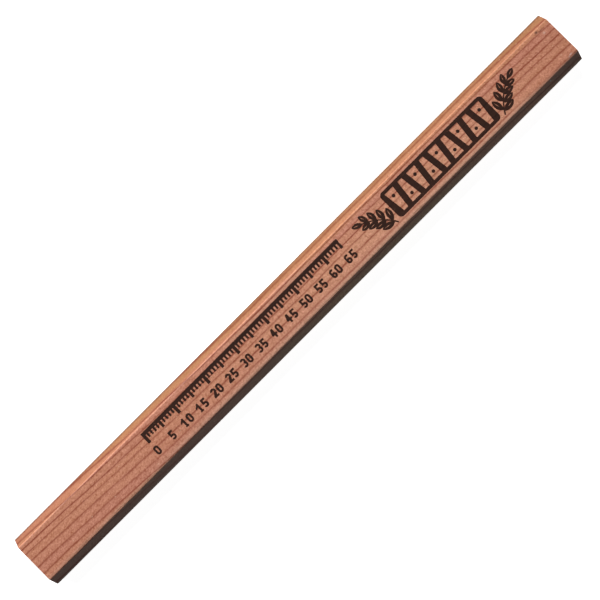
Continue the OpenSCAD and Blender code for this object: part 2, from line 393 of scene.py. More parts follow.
def add_end(slat, verts, faces, outline, ids, inner, end):
    """An end face, in bands from the outline in to the joint face and groove.

    Returns the vertex numbers along the inner path."""
    target = inner.copy()
    target[0], target[-1] = outline[0], outline[-1]
    for band in range(1, END_BANDS + 1):
        part = (band / END_BANDS) ** 1.15
        points = outline * (1 - part) + target * part
        y, z = points[:, 0], MID + slat.up * points[:, 1]
        fade = min(1.0, band / 2)
        rng = np.random.default_rng(slat.seed + 9 + end)
        x = end * (HALF_LENGTH - fade * cut_relief(rng, y, z, end))
        new = [ids[0], *range(len(verts), len(verts) + len(y) - 2), ids[-1]]
        verts.extend(np.column_stack([x, y, z])[1:-1])
        for i in range(len(y) - 1):
            face = list(dict.fromkeys([ids[i], new[i], new[i + 1], ids[i + 1]]))
            if len(face) > 2:
                faces.append(tuple(face if end > 0 else face[::-1]))
        ids = new
    return ids


def build_slat(which):
    """A slat as one closed mesh: milled outside, trimmed ends, joint face and half groove."""
    slat = SLATS[which]
    path, normal, mark = outer_path(slat.step)
    inner = inner_path(path)
    x, y, height, painted_edge_light = milled_surface(slat, path, normal, mark)
    row_count, count = x.shape
    verts = list(np.stack([x, y, MID + slat.up * height], axis=2).reshape(-1, 3))
    ids = np.arange(row_count * count).reshape(row_count, count).tolist()
    faces = []
    for row, following in zip(ids, ids[1:]):
        for i in range(count - 1):
            faces.append((row[i], following[i], following[i + 1], row[i + 1]))
    low, high = [
        add_end(slat, verts, faces, np.column_stack([y[j], height[j]]), ids[j], inner, end)
        for j, end in ((0, -1), (-1, 1))
    ]
    for i in range(1, count - 2):
        faces.append((low[i], low[i + 1], high[i + 1], high[i]))
    faces.append(tuple([row[0] for row in ids][::-1] + [low[1], high[1]]))
    faces.append(tuple([row[-1] for row in ids] + [high[-2], low[-2]]))
    mesh = bpy.data.meshes.new("casing_" + which)
    mesh.from_pydata((np.array(verts) * MM).tolist(), [], faces)
    mesh.validate()
    # the edge attribute carries the painted highlight and shade of the long edges
    edge = np.zeros(len(verts), np.float32)
    edge[: painted_edge_light.size] = painted_edge_light.reshape(-1)
    mesh.attributes.new("edge", "FLOAT", "POINT").data.foreach_set("value", edge)
    bm = bmesh.new()
    bm.from_mesh(mesh)
    bmesh.ops.recalc_face_normals(bm, faces=bm.faces)
    bm.to_mesh(mesh)
    bm.free()
    return add_piece(mesh, which + "_slat", sharp=38)


# ---------------------------------------------------------------- printed ink

INK_STEPS = (0.5, 0.42)  # mesh size along x and y
FILM, FILM_UNEVEN = 0.016, 0.003  # how far the ink stands above the wood, and its variation
INK_DEPTH = 0.030  # thickness of the film's mesh
RIM_UNEVEN = (0.022, 0.016)  # how far the printed edges stray along x and y


def cut_outline(node):
    """The upward faces of a CAD ink node, cut into a fine grid and triangulated."""
    bm = bmesh.new()
    bm.from_mesh(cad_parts[node].data)
    bm.normal_update()
    bmesh.ops.delete(bm, geom=[f for f in bm.faces if f.normal.z < 0.9], context="FACES")
    bmesh.ops.remove_doubles(bm, verts=bm.verts, dist=1e-7)
    spans = [(min(v.co[k] for v in bm.verts), max(v.co[k] for v in bm.verts)) for k in range(2)]
    bmesh.ops.dissolve_limit(bm, angle_limit=0.02, verts=bm.verts, edges=bm.edges)
    for k, (low, high) in enumerate(spans):
        step = INK_STEPS[k] * MM
        place = low + step * 0.37
        while place < high:
            point, normal = [0, 0, 0], [0, 0, 0]
            point[k], normal[k] = place, 1
            everything = bm.verts[:] + bm.edges[:] + bm.faces[:]
            bmesh.ops.bisect_plane(
                bm, geom=everything, plane_co=point, plane_no=normal, dist=1e-7
            )
            place += step
    bmesh.ops.triangulate(bm, faces=bm.faces)
    return bm


def build_ink(name, node, seed):
    """A print film from a CAD ink outline, laid on the wood's relief, its edges uneven."""
    bm = cut_outline(node)
    places = np.array([v.co for v in bm.verts]) / MM
    x, y = places[:, 0], places[:, 1]
    # on the broad face the section's running length is minus y
    flat, no_mark = np.full(len(x), TOP), np.zeros(len(x))
    depths = slat_relief(SLATS["upper"], x, -y, y, flat, no_mark)
    rng = np.random.default_rng(seed)
    films = FILM + FILM_UNEVEN * noise_plane(rng, x, y, 0.9, 0.5)
    for v, depth, film in zip(bm.verts, depths, films):
        v.co.z = (TOP - depth + film) * MM
    rim = {v for e in bm.edges if e.is_boundary for v in e.verts}
    stray_x = noise_plane(rng, x, y, 0.32, 0.22)
    stray_y = noise_plane(rng, x, y, 0.38, 0.2)
    for v, along, across in zip(bm.verts, stray_x, stray_y):
        if v in rim:
            v.co.x += RIM_UNEVEN[0] * along * MM
            v.co.y += RIM_UNEVEN[1] * across * MM
    copied = bmesh.ops.extrude_face_region(bm, geom=bm.faces[:])
    for item in copied["geom"]:
        if isinstance(item, bmesh.types.BMVert):
            item.co.z -= INK_DEPTH * MM
    bmesh.ops.recalc_face_normals(bm, faces=bm.faces)
    mesh = bpy.data.meshes.new(name)
    bm.to_mesh(mesh)
    bm.free()
    return add_piece(mesh, node, sharp=40)


# ---------------------------------------------------------------- material helpers

# Noise patterns: scale along x, y and z, shift, detail, roughness, distortion
PATTERNS = {
    "feather": ((0.22, 2.6, 2.6), (3.1, 0, 0), 3, 0.6, 0.0),
    "ragged": ((0.9, 3.4, 3.4), (1.7, 4, 0), 2, 0.6, 0.0),
    "fibre": ((0.16, 4.0, 4.0), (0, 0, 0), 3, 0.6, 0.0),
    "band": ((0.022, 0.75, 0.75), (7, 3, 1), 3, 0.55, 0.0),
    "rays": ((2.0, 1.5, 2.4), (1, 8, 2), 2, 0.65, 0.3),
    "mottle": ((1.7, 1.8, 1.8), (5, 2, 9), 2, 0.65, 0.3),
    "speck": ((3.6, 3.9, 3.9), (2, 7, 4), 1, 0.5, 0.0),
    "blotch": ((0.6, 0.75, 0.8), (3, 3, 8), 1, 0.5, 0.0),
    "cloud": ((0.035, 0.09, 0.09), (2, 6, 4), 2, 0.5, 0.0),
    "pores": ((3.0, 9.0, 9.0), (0, 0, 0), 2, 0.7, 0.0),
    "pinholes": ((1.1, 6.0, 6.0), (9, 1, 3), 3, 0.7, 0.0),
    "graphite_grain": ((2.0, 6.0, 6.0), (0, 0, 0), 4, 0.65, 0.0),
    "glue_speck": ((1.6, 5.0, 5.0), (0, 0, 0), 3, 0.6, 0.0),
    "glue_run": ((0.12, 2.0, 2.0), (5, 5, 5), 3, 0.6, 0.0),
}


class Graph:
    """Builds the node tree of a material or world."""

    def __init__(self, owner):
        self.owner = owner
        owner.use_nodes = True
        self.tree = owner.node_tree
        self.tree.nodes.clear()

    def feed(self, socket, value):
        if isinstance(value, bpy.types.NodeSocket):
            self.tree.links.new(value, socket)
        else:
            socket.default_value = value

    def node(self, kind, *values, props=None, **named):
        """A node with its properties and its inputs, by order or by name (_ for a space)."""
        made = self.tree.nodes.new("ShaderNode" + kind)
        for key, value in (props or {}).items():
            setattr(made, key, value)
        for socket, value in zip(made.inputs, values):
            self.feed(socket, value)
        for key, value in named.items():
            self.feed(made.inputs[key.replace("_", " ")], value)
        return made

    def math(self, operation, *values, clamp=False):
        props = dict(operation=operation, use_clamp=clamp)
        return self.node("Math", *values, props=props).outputs[0]

    def mul(self, value, times):
        return self.math("MULTIPLY", value, times)

    def mul_add(self, value, times, plus):
        return self.math("MULTIPLY_ADD", value, times, plus)

    def plus(self, total, *others):
        for value in others:
            total = self.math("ADD", total, value)
        return total

    def minus(self, value, less):
        return self.math("SUBTRACT", value, less)

    def centred(self, noise, amount):
        """Noise moved to swing about zero, and scaled."""
        return self.mul(self.minus(noise, 0.5), amount)

    def decay(self, value, rate=1.0):
        """exp(-rate * value)"""
        return self.math("EXPONENT", self.mul(value, -rate))

    def offset(self, value, middle, width):
        """Distance from a middle, in half widths."""
        return self.mul_add(value, times=1 / width, plus=-middle / width)

    def vector(self, operation, *values, **named):
        props = dict(operation=operation)
        return self.node("VectorMath", *values, props=props, **named).outputs[0]

    def scaled(self, vector, factor):
        return self.vector("SCALE", vector, Scale=factor)

    def stretch(self, vector, scale, shift=(0.0, 0.0, 0.0)):
        return self.vector("MULTIPLY_ADD", vector, scale, shift)

    def mix(self, factor, first, second, kind="RGBA"):
        start, result = {"RGBA": (6, 2), "FLOAT": (2, 0)}[kind]
        made = self.node("Mix", factor, props=dict(data_type=kind))
        self.feed(made.inputs[start], first)
        self.feed(made.inputs[start + 1], second)
        return made.outputs[result]

    def ramp(self, value, over, to=(0.0, 1.0), smooth=True):
        props = dict(interpolation_type="SMOOTHSTEP" if smooth else "LINEAR")
        return self.node("MapRange", value, *over, *to, props=props).outputs[0]

    def window(self, value, rise, fall):
        """1 between two smooth ramps, 0 outside them."""
        return self.mul(self.ramp(value, over=rise), self.ramp(value, over=fall))

    def noise(self, vector, detail, rough, distort=0.0):
        return self.node(
            "TexNoise", Vector=vector, Scale=1.0, Detail=detail, Roughness=rough,
            Distortion=distort,
        ).outputs[0]

    def pattern(self, vector, name):
        scale, shift, *settings = PATTERNS[name]
        return self.noise(self.stretch(vector, scale, shift), *settings)

    def curve(self, value, places, heights):
        """Straight lines through a row of points."""
        made = self.node("FloatCurve", Value=value)
        points = made.mapping.curves[0].points
        points[0].location = (places[0], heights[0])
        points[1].location = (places[-1], heights[-1])
        for x, y in zip(places[1:-1], heights[1:-1]):
            points.new(x, y)
        for point in points:
            point.handle_type = "VECTOR"
        made.mapping.update()
        return made.outputs[0]

    def point_mm(self):
        """Object position in millimetres, in the row frame."""
        return self.stretch(self.node("TexCoord").outputs["Object"], (1 / MM,) * 3)

    def facing(self, axis):
        """How squarely the surface faces along an axis, either way."""
        return self.math("ABSOLUTE", self.split(self.node("TexCoord").outputs["Normal"])[axis])

    def split(self, vector):
        return self.node("SeparateXYZ", vector).outputs

    def join(self, x, y, z):
        return self.node("CombineXYZ", x, y, z).outputs[0]

    def random(self, value, seed):
        """A random number for each whole value."""
        props = dict(noise_dimensions="1D")
        return self.node("TexWhiteNoise", props=props, W=self.plus(value, seed)).outputs["Value"]

    def bump(self, height, distance, strength):
        """Bumped normal; distance is in metres."""
        made = self.node("Bump", Strength=strength, Distance=distance, Height=height)
        return made.outputs["Normal"]

    def finish(self, surface, output="OutputMaterial"):
        self.node(output, Surface=surface.outputs[0])
        return self.owner


def material_graph(name):
    return Graph(bpy.data.materials.new(name))


def srgb(*channels):
    """sRGB 0-255 to a linear colour."""
    out = []
    for c in channels:
        c /= 255
        out.append(c / 12.92 if c <= 0.04045 else ((c + 0.055) / 1.055) ** 2.4)
    return (*out, 1.0)


# ---------------------------------------------------------------- cedar

GOLD = srgb(196, 135, 99)
PINK = srgb(191, 124, 104)
LINE = srgb(138, 66, 45)
PALE = (0.383, 0.221, 0.176)  # what a paler fibre adds: closer to white than the wood is
SUNNY = (0.070, 0.064, 0.043)  # what the more golden stretch adds
TAN = (0.002, 0.027, 0.016)  # what takes the pink out of one ring
DARKEST = (0.01, 0.01, 0.01)
CHALK = (0.66, 0.60, 0.47, 1.0)  # a paler, greyer colour along the shaded edge
PAINTED_SHADE_GREY = (0.196, 0.126, 0.095, 1.0)  # painted shade: a greyer, darker colour on the shaded bevel
# flecks and resin dots: random channel, threshold, strength, colour
DOTS = [(0, 0.86, 0.4, srgb(236, 196, 168)), (1, 0.90, 0.45, srgb(96, 55, 42))]
END_WOOD, END_LINE, END_PORE = srgb(168, 108, 82), srgb(92, 48, 34), srgb(120, 72, 52)
# single marks on the upper slat: x, y, half length, half width, strength, colour
MARKS = [
    (84.9, 4.66, 0.34, 0.30, 0.85, (54, 34, 30)),
    (85.9, 4.3, 0.8, 0.14, 0.45, (84, 46, 38)),
    (86.2, 3.3, 0.32, 0.26, 0.5, (232, 200, 180)),
    (87.0, -4.75, 0.36, 0.15, 0.42, (214, 205, 205)),
    (86.3, -4.98, 0.2, 0.10, 0.4, (220, 212, 212)),
    (79.3, -5.85, 0.15, 0.14, 0.85, (205, 200, 194)),
    (70.1, -6.0, 0.32, 0.12, 0.5, (180, 170, 160)),
    (-86.6, 4.5, 0.28, 0.16, 0.3, (104, 58, 48)),
    (-78.9, 0.6, 0.26, 0.14, 0.3, (104, 58, 48)),
]


def ring_coordinate(graph, slat, x, y, wood_x, wood_y, wood_z):
    """The node form of the ring coordinate in ring_number."""
    stations = np.linspace(-DRIFT_REACH, DRIFT_REACH, 25)
    drift = graph.curve(
        graph.mul_add(wood_x, times=1 / (2 * DRIFT_REACH), plus=0.5),
        [(v + DRIFT_REACH) / (2 * DRIFT_REACH) for v in stations],
        [float(v) / DRIFT_MAX for v in smooth_curve(DRIFT_X, DRIFT_Y, stations)],
    )
    across = graph.mul(wood_y, times=math.cos(slat.tilt))
    across = graph.mul_add(wood_z, times=math.sin(slat.tilt), plus=across)
    across = graph.mul_add(drift, times=-DRIFT_MAX, plus=across)
    for depth, rate_x, rate_y, phase in WOBBLE:
        angle = graph.mul_add(wood_x, rate_x, graph.mul_add(wood_y, rate_y, phase))
        across = graph.mul_add(graph.math("SINE", angle), depth, across)
    if slat.bent:
        rise = graph.ramp(y, over=(BEND_Y, BEND_Y + BEND_RISE))
        for at, width, depth in BENDS:
            away = graph.offset(x, at, width)
            bump = graph.decay(graph.mul(away, away))
            across = graph.mul_add(graph.mul(bump, rise), depth, across)
        at_x, at_y, width_x, width_y, depth = SWELL
        away_x, away_y = graph.offset(x, at_x, width_x), graph.offset(y, at_y, width_y)
        square = graph.mul_add(away_x, away_x, graph.mul(away_y, away_y))
        across = graph.mul_add(graph.decay(square), depth, across)
    return across


def ring_line(graph, wood_x, number, whole):
    """Strength of the thin late-wood line with its soft skirt."""

    def line_noise(along, between, level, detail):
        place = graph.join(graph.mul(wood_x, along), graph.mul(whole, between), level)
        return graph.noise(place, detail, rough=0.6)

    away = graph.mul(graph.math("ABSOLUTE", graph.minus(number, whole)), RING_WIDTH)
    core_width = 0.185
    core = graph.decay(graph.math("POWER", graph.math("DIVIDE", away, core_width), 2.0))
    skirt = graph.decay(away, rate=3.2)
    slow = line_noise(along=0.045, between=3.7, level=0.0, detail=3)
    strength = graph.mul(
        graph.mul_add(graph.random(whole, seed=17.3), times=0.5, plus=0.62),
        graph.ramp(slow, over=(0.22, 0.62), to=(0.62, 1.12)),
    )
    # the curve holds half of each weight, to stay within its range
    places, halves = [k / RINGS for k in range(RINGS + 1)], [v / 2 for v in LINE_WEIGHT]
    half_weight = graph.curve(graph.mul(whole, times=1 / RINGS), places, halves)
    strength = graph.mul(strength, graph.mul(half_weight, times=2.0))
    broken = line_noise(along=0.7, between=5.3, level=2.0, detail=2)
    breaks = graph.ramp(broken, over=(0.3, 0.7), to=(0.78, 1.2), smooth=False)
    strength = graph.mul(strength, breaks)
    profile = graph.mul_add(skirt, times=0.22, plus=graph.mul(core, times=0.78))
    return graph.math("MULTIPLY", profile, strength, clamp=True)


def cedar_field(graph, slat):
    """Places on the slat (x, y, z) and in the wood, and the ring pattern, as sockets."""
    x, y, z = graph.split(graph.point_mm())
    wood_x = graph.mul_add(x, slat.x_sign, slat.x_shift)
    wood_y = graph.mul_add(y, slat.y_sign, slat.y_shift)
    wood_z = graph.minus(z, slat.face_z)
    wood = graph.join(wood_x, wood_y, wood_z)
    across = ring_coordinate(graph, slat, x, y, wood_x, wood_y, wood_z)
    # the fibres make each line slightly feathered
    for name, amount in (("feather", 0.16), ("ragged", 0.17)):
        across = graph.mul_add(graph.minus(graph.pattern(wood, name), 0.5), amount, across)
    extent = RING_HIGH - RING_LOW
    number = graph.curve(
        graph.mul_add(across, times=1 / extent, plus=-RING_LOW / extent),
        [0.0] + [(v - RING_LOW) / extent for v in LINES] + [1.0],
        [0.0] + [k / RINGS for k in range(RINGS + 1)] + [1.0],
    )
    number = graph.mul(number, times=RINGS)
    ring = graph.math("FLOOR", number)
    return SimpleNamespace(
        x=x, y=y, z=z, wood=wood, wood_x=wood_x, wood_y=wood_y,
        line=ring_line(graph, wood_x, number, graph.math("ROUND", number)),
        phase=graph.minus(number, ring),
        ring_tone=graph.random(ring, seed=5.7),
        ring_hue=graph.random(ring, seed=31.1),
    )


def cedar_figure(graph, field):
    """The fine noises of the wood, the rubbed edges, and how flat the surface lies."""
    # the flecks lean one way at one end and the other way at the other, like the cutter's arcs
    x, y, z = graph.split(field.wood)
    lean = graph.join(graph.mul_add(graph.mul(x, y), times=1 / 80, plus=x), y, z)
    straight = ("fibre", "band", "mottle", "speck", "cloud")
    return SimpleNamespace(
        # ray fleck shows most on the quarter-sawn broad faces
        flat=graph.ramp(graph.facing(axis=2), over=(0.72, 0.98), to=(0.5, 1.0)),
        edge=graph.node("Attribute", props=dict(attribute_name="edge")).outputs["Fac"],
        **{name: graph.pattern(field.wood, name) for name in straight},
        **{name: graph.pattern(lean, name) for name in ("rays", "blotch")},
    )


def cedar_paleness(graph, field, figure):
    """How much paler the fibres are, before the far edge is added."""
    fleck = graph.plus(
        graph.centred(figure.rays, amount=1.1),
        graph.plus(
            graph.centred(figure.mottle, amount=1.2), graph.centred(figure.speck, amount=0.72)
        ),
        graph.centred(figure.blotch, amount=0.4),
    )
    fleck = graph.mul(fleck, figure.flat)
    # each ring is palest just under a line and deepens in the last stretch before the next
    late = graph.math("POWER", graph.minus(1.0, field.phase), 3.0)
    late = graph.mul(late, graph.mul_add(field.ring_tone, times=0.14, plus=0.02))
    return graph.plus(
        graph.minus(fleck, late),
        graph.centred(figure.fibre, amount=0.17),
        graph.centred(figure.band, amount=0.13),
    )


def cedar_tone(graph, field, figure, outer):
    """Brightness of the wood, with painted shade and painted highlight at its edges and bevels."""
    x, y, z = field.x, field.y, field.z
    tone = graph.plus(
        1.02,
        graph.centred(figure.cloud, amount=0.12),
        graph.centred(field.ring_tone, amount=0.05),
    )
    tone = graph.mul_add(outer, times=-0.165, plus=tone)
    # painted shade: surfaces facing away from straight up, the bevels and sides, are a little
    # darker
    tone = graph.mul_add(graph.minus(1.0, figure.flat), times=-0.08, plus=tone)
    # painted shade: the +Y widest edge is darker, most of all towards its ends, and its upper
    # arris darker still
    painted_rim_shade = graph.plus(
        graph.ramp(x, over=(-28.0, -36.0), to=(0.17, 0.28)),
        graph.ramp(x, over=(-68.0, -78.0), to=(0.0, 0.05)),
        graph.ramp(x, over=(60.0, 84.0), to=(0.0, 0.06)),
    )
    painted_rim_shade = graph.mul(painted_rim_shade, graph.ramp(y, over=(6.8, 7.25)))
    painted_arris_shade = graph.mul(graph.ramp(y, over=(7.1, 7.3)), graph.ramp(z, over=(4.5, 4.8)))
    tone = graph.minus(tone, graph.mul_add(painted_arris_shade, times=0.14, plus=painted_rim_shade))
    tone = graph.mul_add(graph.ramp(x, over=(70.0, 80.0)), times=-0.045, plus=tone)
    # painted highlight: the broad face's edges are lighter where the edge attribute is positive
    painted_edge_light = graph.mul_add(
        graph.math("MAXIMUM", figure.edge, 0.0),
        times=graph.ramp(x, over=(-50.0, 60.0), to=(0.405, 0.31)),
        plus=1.0,
    )
    # painted shade: the widest edges are darker where the edge attribute is negative
    widest = graph.math("MINIMUM", figure.edge, 0.0)
    return graph.mul(tone, graph.mul_add(widest, times=0.26, plus=painted_edge_light))


def cedar_ground(graph, field, figure):
    """Wood colour between the lines, before the handled bevels."""
    wood_x, wood_y = field.wood_x, field.wood_y
    # the wood turns more golden towards its outer edge
    outer = graph.mul(
        graph.ramp(wood_y, over=(5.5, 6.7)), graph.ramp(wood_x, over=(-85.0, -20.0))
    )
    # and paler and more golden past the middle of its length
    sunny = graph.window(wood_x, rise=(-60.0, 40.0), fall=(85.0, 52.0))
    patch = graph.window(wood_y, rise=(1.5, -0.5), fall=(-4.6, -3.4))
    sunny = graph.mul(sunny, graph.mul_add(patch, times=0.6, plus=0.4))
    far_edge = graph.mul(
        graph.ramp(wood_y, over=(-4.3, -5.0)), graph.ramp(wood_x, over=(-70.0, 0.0))
    )
    hue = graph.plus(
        graph.mul(field.ring_hue, times=0.16),
        graph.mul(figure.band, times=0.3),
        graph.mul(figure.mottle, times=0.3),
        0.1,
        graph.mul(outer, times=0.6),
    )
    hue = graph.mul_add(far_edge, times=0.1, plus=hue)
    pale = cedar_paleness(graph, field, figure)
    pale = graph.mul_add(far_edge, times=0.03, plus=pale)
    colour = graph.mix(graph.ramp(hue, over=(0.2, 0.9)), PINK, GOLD)
    colour = graph.scaled(colour, cedar_tone(graph, field, figure, outer))
    golden = graph.scaled(SUNNY, graph.mul(sunny, figure.flat))
    colour = graph.vector("ADD", colour, golden)
    # less pink in the ring above the imprint's left half
    tan = graph.mul(
        graph.window(field.x, rise=(-26.0, -16.0), fall=(14.0, 4.0)),
        graph.window(field.y, rise=(3.7, 4.1), fall=(4.8, 4.55)),
    )
    colour = graph.vector("ADD", colour, graph.scaled(TAN, tan))
    colour = graph.vector("ADD", colour, graph.scaled(PALE, pale))
    return graph.vector("MAXIMUM", colour, DARKEST)


def shade_bevels(graph, x, y, colour):
    """A paler, greyer tone by the shaded bevel, painted shade on it, and the tints of both bevels.
    """
    chalk = graph.window(y, rise=(-4.5, -4.95), fall=(-5.6, -5.35))
    middle = graph.mul(
        graph.window(x, rise=(-60.0, -45.0), fall=(78.0, 70.0)),
        graph.window(y, rise=(-3.3, -4.5), fall=(-5.6, -5.35)),
    )
    chalk = graph.mul_add(chalk, times=0.11, plus=graph.mul(middle, times=0.05))
    colour = graph.mix(chalk, colour, CHALK)
    # painted shade: the shaded bevel is mixed towards a greyer, darker colour
    painted_shade = graph.math(
        "MAXIMUM",
        graph.ramp(x, over=(5.0, -18.0)),
        graph.ramp(x, over=(74.0, 84.0), to=(0.0, 0.6)),
    )
    painted_shade = graph.mul(painted_shade, graph.ramp(y, over=(-5.45, -5.75), to=(0.0, 0.45)))
    colour = graph.mix(painted_shade, colour, PAINTED_SHADE_GREY)
    warm = graph.ramp(y, over=(5.0, 5.25))
    # painted shade: a greyer tint on the outer part of the shaded bevel
    olive = graph.mul(
        graph.window(x, rise=(-24.0, -6.0), fall=(58.0, 42.0)),
        graph.ramp(y, over=(-6.0, -6.5)),
    )
    green = graph.mul_add(warm, times=-0.015, plus=1.0)
    green = graph.mul_add(olive, times=0.17, plus=green)
    blue = graph.mul_add(warm, times=-0.145, plus=1.0)
    blue = graph.mul_add(olive, times=0.11, plus=blue)
    return graph.vector("MULTIPLY", colour, graph.join(1.0, green, blue))


def warm_edge(graph, x, y, colour):
    """More orange by the lit edge, past the pencil's middle."""
    ridge = graph.ramp(y, over=(5.75, 5.45))
    orange, deep = [
        graph.mul(graph.ramp(x, over=along), graph.mul(graph.ramp(y, over=across), ridge))
        for along, across in (((-2.0, 12.0), (4.2, 4.65)), ((22.0, 34.0), (4.95, 5.15)))
    ]
    red = graph.mul_add(deep, times=-0.035, plus=1.0)
    green = graph.mul_add(deep, times=-0.065, plus=1.0)
    blue = graph.mul_add(orange, times=-0.13, plus=1.0)
    blue = graph.mul_add(deep, times=-0.05, plus=blue)
    return graph.vector("MULTIPLY", colour, graph.join(red, green, blue))


def cedar_colour(graph, slat, field):
    """Cedar colour, and the fine figure it is made with."""
    figure = cedar_figure(graph, field)
    colour = cedar_ground(graph, field, figure)
    colour = shade_bevels(graph, field.x, field.y, colour)
    colour = graph.mix(field.line, colour, LINE)
    colour = warm_edge(graph, field.x, field.y, colour)
    # pale flecks and dark resin dots
    place = graph.stretch(field.wood, scale=(0.55, 0.9, 0.9), shift=(4, 4, 4))
    cells = graph.node("TexVoronoi", Vector=place, Scale=1.0)
    picks = graph.split(cells.outputs["Color"])
    spot = graph.ramp(cells.outputs["Distance"], over=(0.05, 0.17), to=(1.0, 0.0))
    for channel, threshold, strength, tint in DOTS:
        dot = graph.mul(spot, graph.math("GREATER_THAN", picks[channel], threshold))
        colour = graph.mix(graph.mul(dot, strength), colour, tint)
    if slat is SLATS["upper"]:
        for at_x, at_y, width_x, width_y, strength, tint in MARKS:
            away_x = graph.offset(field.x, at_x, width_x)
            away_y = graph.offset(field.y, at_y, width_y)
            square = graph.plus(graph.mul(away_x, away_x), graph.mul(away_y, away_y))
            ragged = graph.mul(square, graph.mul_add(figure.speck, times=1.2, plus=0.4))
            colour = graph.mix(graph.mul(graph.decay(ragged), strength), colour, srgb(*tint))
    return colour, figure


def cedar_material(name, slat):
    graph = material_graph(name)
    field = cedar_field(graph, slat)
    colour, figure = cedar_colour(graph, slat, field)
    # trimmed ends show end grain: darker and matt
    end = graph.ramp(graph.facing(axis=0), over=(0.55, 0.85))
    pores = graph.pattern(field.wood, "pores")
    end_colour = graph.mix(graph.mul(field.line, times=0.75), END_WOOD, END_LINE)
    open_pores = graph.ramp(pores, over=(0.35, 0.7), to=(0.0, 0.35))
    end_colour = graph.mix(open_pores, end_colour, END_PORE)
    rough = graph.mul_add(figure.mottle, times=0.16, plus=0.34)
    rough = graph.mul_add(field.line, times=-0.06, plus=rough)
    painted_edge_light = graph.math("MAXIMUM", figure.edge, 0.0)
    rough = graph.mul_add(painted_edge_light, times=0.05, plus=rough)
    height = graph.mul(figure.fibre, times=0.9)
    height = graph.mul_add(figure.rays, times=0.25, plus=height)
    height = graph.mul_add(figure.mottle, times=0.35, plus=height)
    height = graph.mul_add(field.line, times=0.35, plus=height)
    height = graph.mul_add(graph.mul(pores, end), times=1.5, plus=height)
    return graph.finish(graph.node(
        "BsdfPrincipled",
        Base_Color=graph.mix(end, colour, end_colour),
        Roughness=graph.mix(end, rough, 0.72, kind="FLOAT"),
        IOR=1.42,
        Normal=graph.bump(height, distance=0.000028, strength=0.6),
        Coat_Weight=graph.mul(graph.minus(1.0, end), times=0.08),
        Coat_Roughness=0.25,
        Coat_IOR=1.45,
    ))


# ---------------------------------------------------------------- ink, graphite and glue

INK_DARK, INK_LIGHT, INK_ON_LINE = srgb(44, 24, 16), srgb(54, 30, 21), srgb(26, 14, 10)
LEAD_DARK, LEAD_LIGHT, LEAD_SMEAR = srgb(52, 52, 55), srgb(86, 86, 90), srgb(112, 112, 116)
GLUE_DARK, GLUE_LIGHT, GLUE_SPECK = srgb(120, 80, 55), srgb(158, 112, 76), srgb(98, 62, 44)


def ink_material(name):
    graph = material_graph(name)
    slat = SLATS["upper"]
    field = cedar_field(graph, slat)
    wood, figure = cedar_colour(graph, slat, field)
    ink = graph.mix(graph.ramp(figure.fibre, over=(0.3, 0.7)), INK_DARK, INK_LIGHT)
    ink = graph.mix(graph.mul(field.line, times=0.5), ink, INK_ON_LINE)
    # pinholes where the film missed a pore, along the fibres
    holes = graph.pattern(field.wood, "pinholes")
    thin = graph.ramp(holes, over=(0.66, 0.74), to=(0.0, 0.75))
    height = graph.mul_add(figure.mottle, times=0.8, plus=figure.fibre)
    return graph.finish(graph.node(
        "BsdfPrincipled",
        Base_Color=graph.mix(thin, ink, wood),
        Roughness=graph.mul_add(figure.mottle, times=0.2, plus=0.36),
        IOR=1.25,
        Normal=graph.bump(height, distance=0.00002, strength=0.5),
        Coat_Weight=0.03,
        Coat_Roughness=0.3,
    ))


def graphite_material(name):
    graph = material_graph(name)
    point = graph.point_mm()
    x, y, z = graph.split(point)
    grain = graph.pattern(point, "graphite_grain")
    # smears run across the section's diagonal
    smear_place = graph.join(
        graph.mul(x, times=0.5),
        graph.mul(graph.plus(y, z), times=0.9),
        graph.mul(graph.minus(y, z), times=7.0),
    )
    smear = graph.noise(smear_place, detail=3, rough=0.6)
    colour = graph.mix(graph.ramp(grain, over=(0.3, 0.7)), LEAD_DARK, LEAD_LIGHT)
    smeared = graph.ramp(smear, over=(0.45, 0.7), to=(0.0, 0.5))
    arcs = graph.node(
        "TexWave",
        props=dict(wave_type="RINGS", rings_direction="X"),
        Vector=graph.stretch(point, scale=(0.0, 1.0, 1.0), shift=(0.0, 31.0, 24.0)),
        Scale=0.5,
        Distortion=1.2,
        Detail=2.0,
    ).outputs["Fac"]
    height = graph.mul_add(grain, times=0.7, plus=graph.mul(arcs, times=0.8))
    height = graph.mul_add(smear, times=0.4, plus=height)
    return graph.finish(graph.node(
        "BsdfPrincipled",
        Base_Color=graph.mix(smeared, colour, LEAD_SMEAR),
        Metallic=0.35,
        Roughness=graph.mul_add(grain, times=0.22, plus=0.28),
        IOR=1.9,
        Normal=graph.bump(height, distance=0.00003, strength=0.6),
    ))


def glue_material(name):
    graph = material_graph(name)
    point = graph.point_mm()
    speck = graph.pattern(point, "glue_speck")
    run = graph.pattern(point, "glue_run")
    colour = graph.mix(graph.ramp(run, over=(0.35, 0.65)), GLUE_DARK, GLUE_LIGHT)
    specks = graph.ramp(speck, over=(0.55, 0.75), to=(0.0, 0.6))
    return graph.finish(graph.node(
        "BsdfPrincipled",
        Base_Color=graph.mix(specks, colour, GLUE_SPECK),
        Roughness=graph.mul_add(speck, times=0.2, plus=0.42),
        IOR=1.47,
        Normal=graph.bump(speck, distance=0.00002, strength=0.6),
        Coat_Weight=0.15,
        Coat_Roughness=0.25,
    ))


# ---------------------------------------------------------------- build

for which, slat in SLATS.items():
    casing = build_slat(which)
    casing.data.materials.append(cedar_material("cedar_%s_finish" % which, slat))

ink = ink_material("printed_ink")
for k, part in enumerate(("scale", "panel", "sprigs")):
    build_ink("ink_" + part, "printed_" + part, seed=101 + k).data.materials.append(ink)

for node, slot, material in (
    ("lead_core", "graphite", graphite_material("graphite_core")),
    ("glue_line", "glue", glue_material("cured_glue")),
):
    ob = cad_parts[node]
    ob.data.materials.clear()
    ob.data.materials.append(material)

# ---------------------------------------------------------------- floor, light, camera (metres)

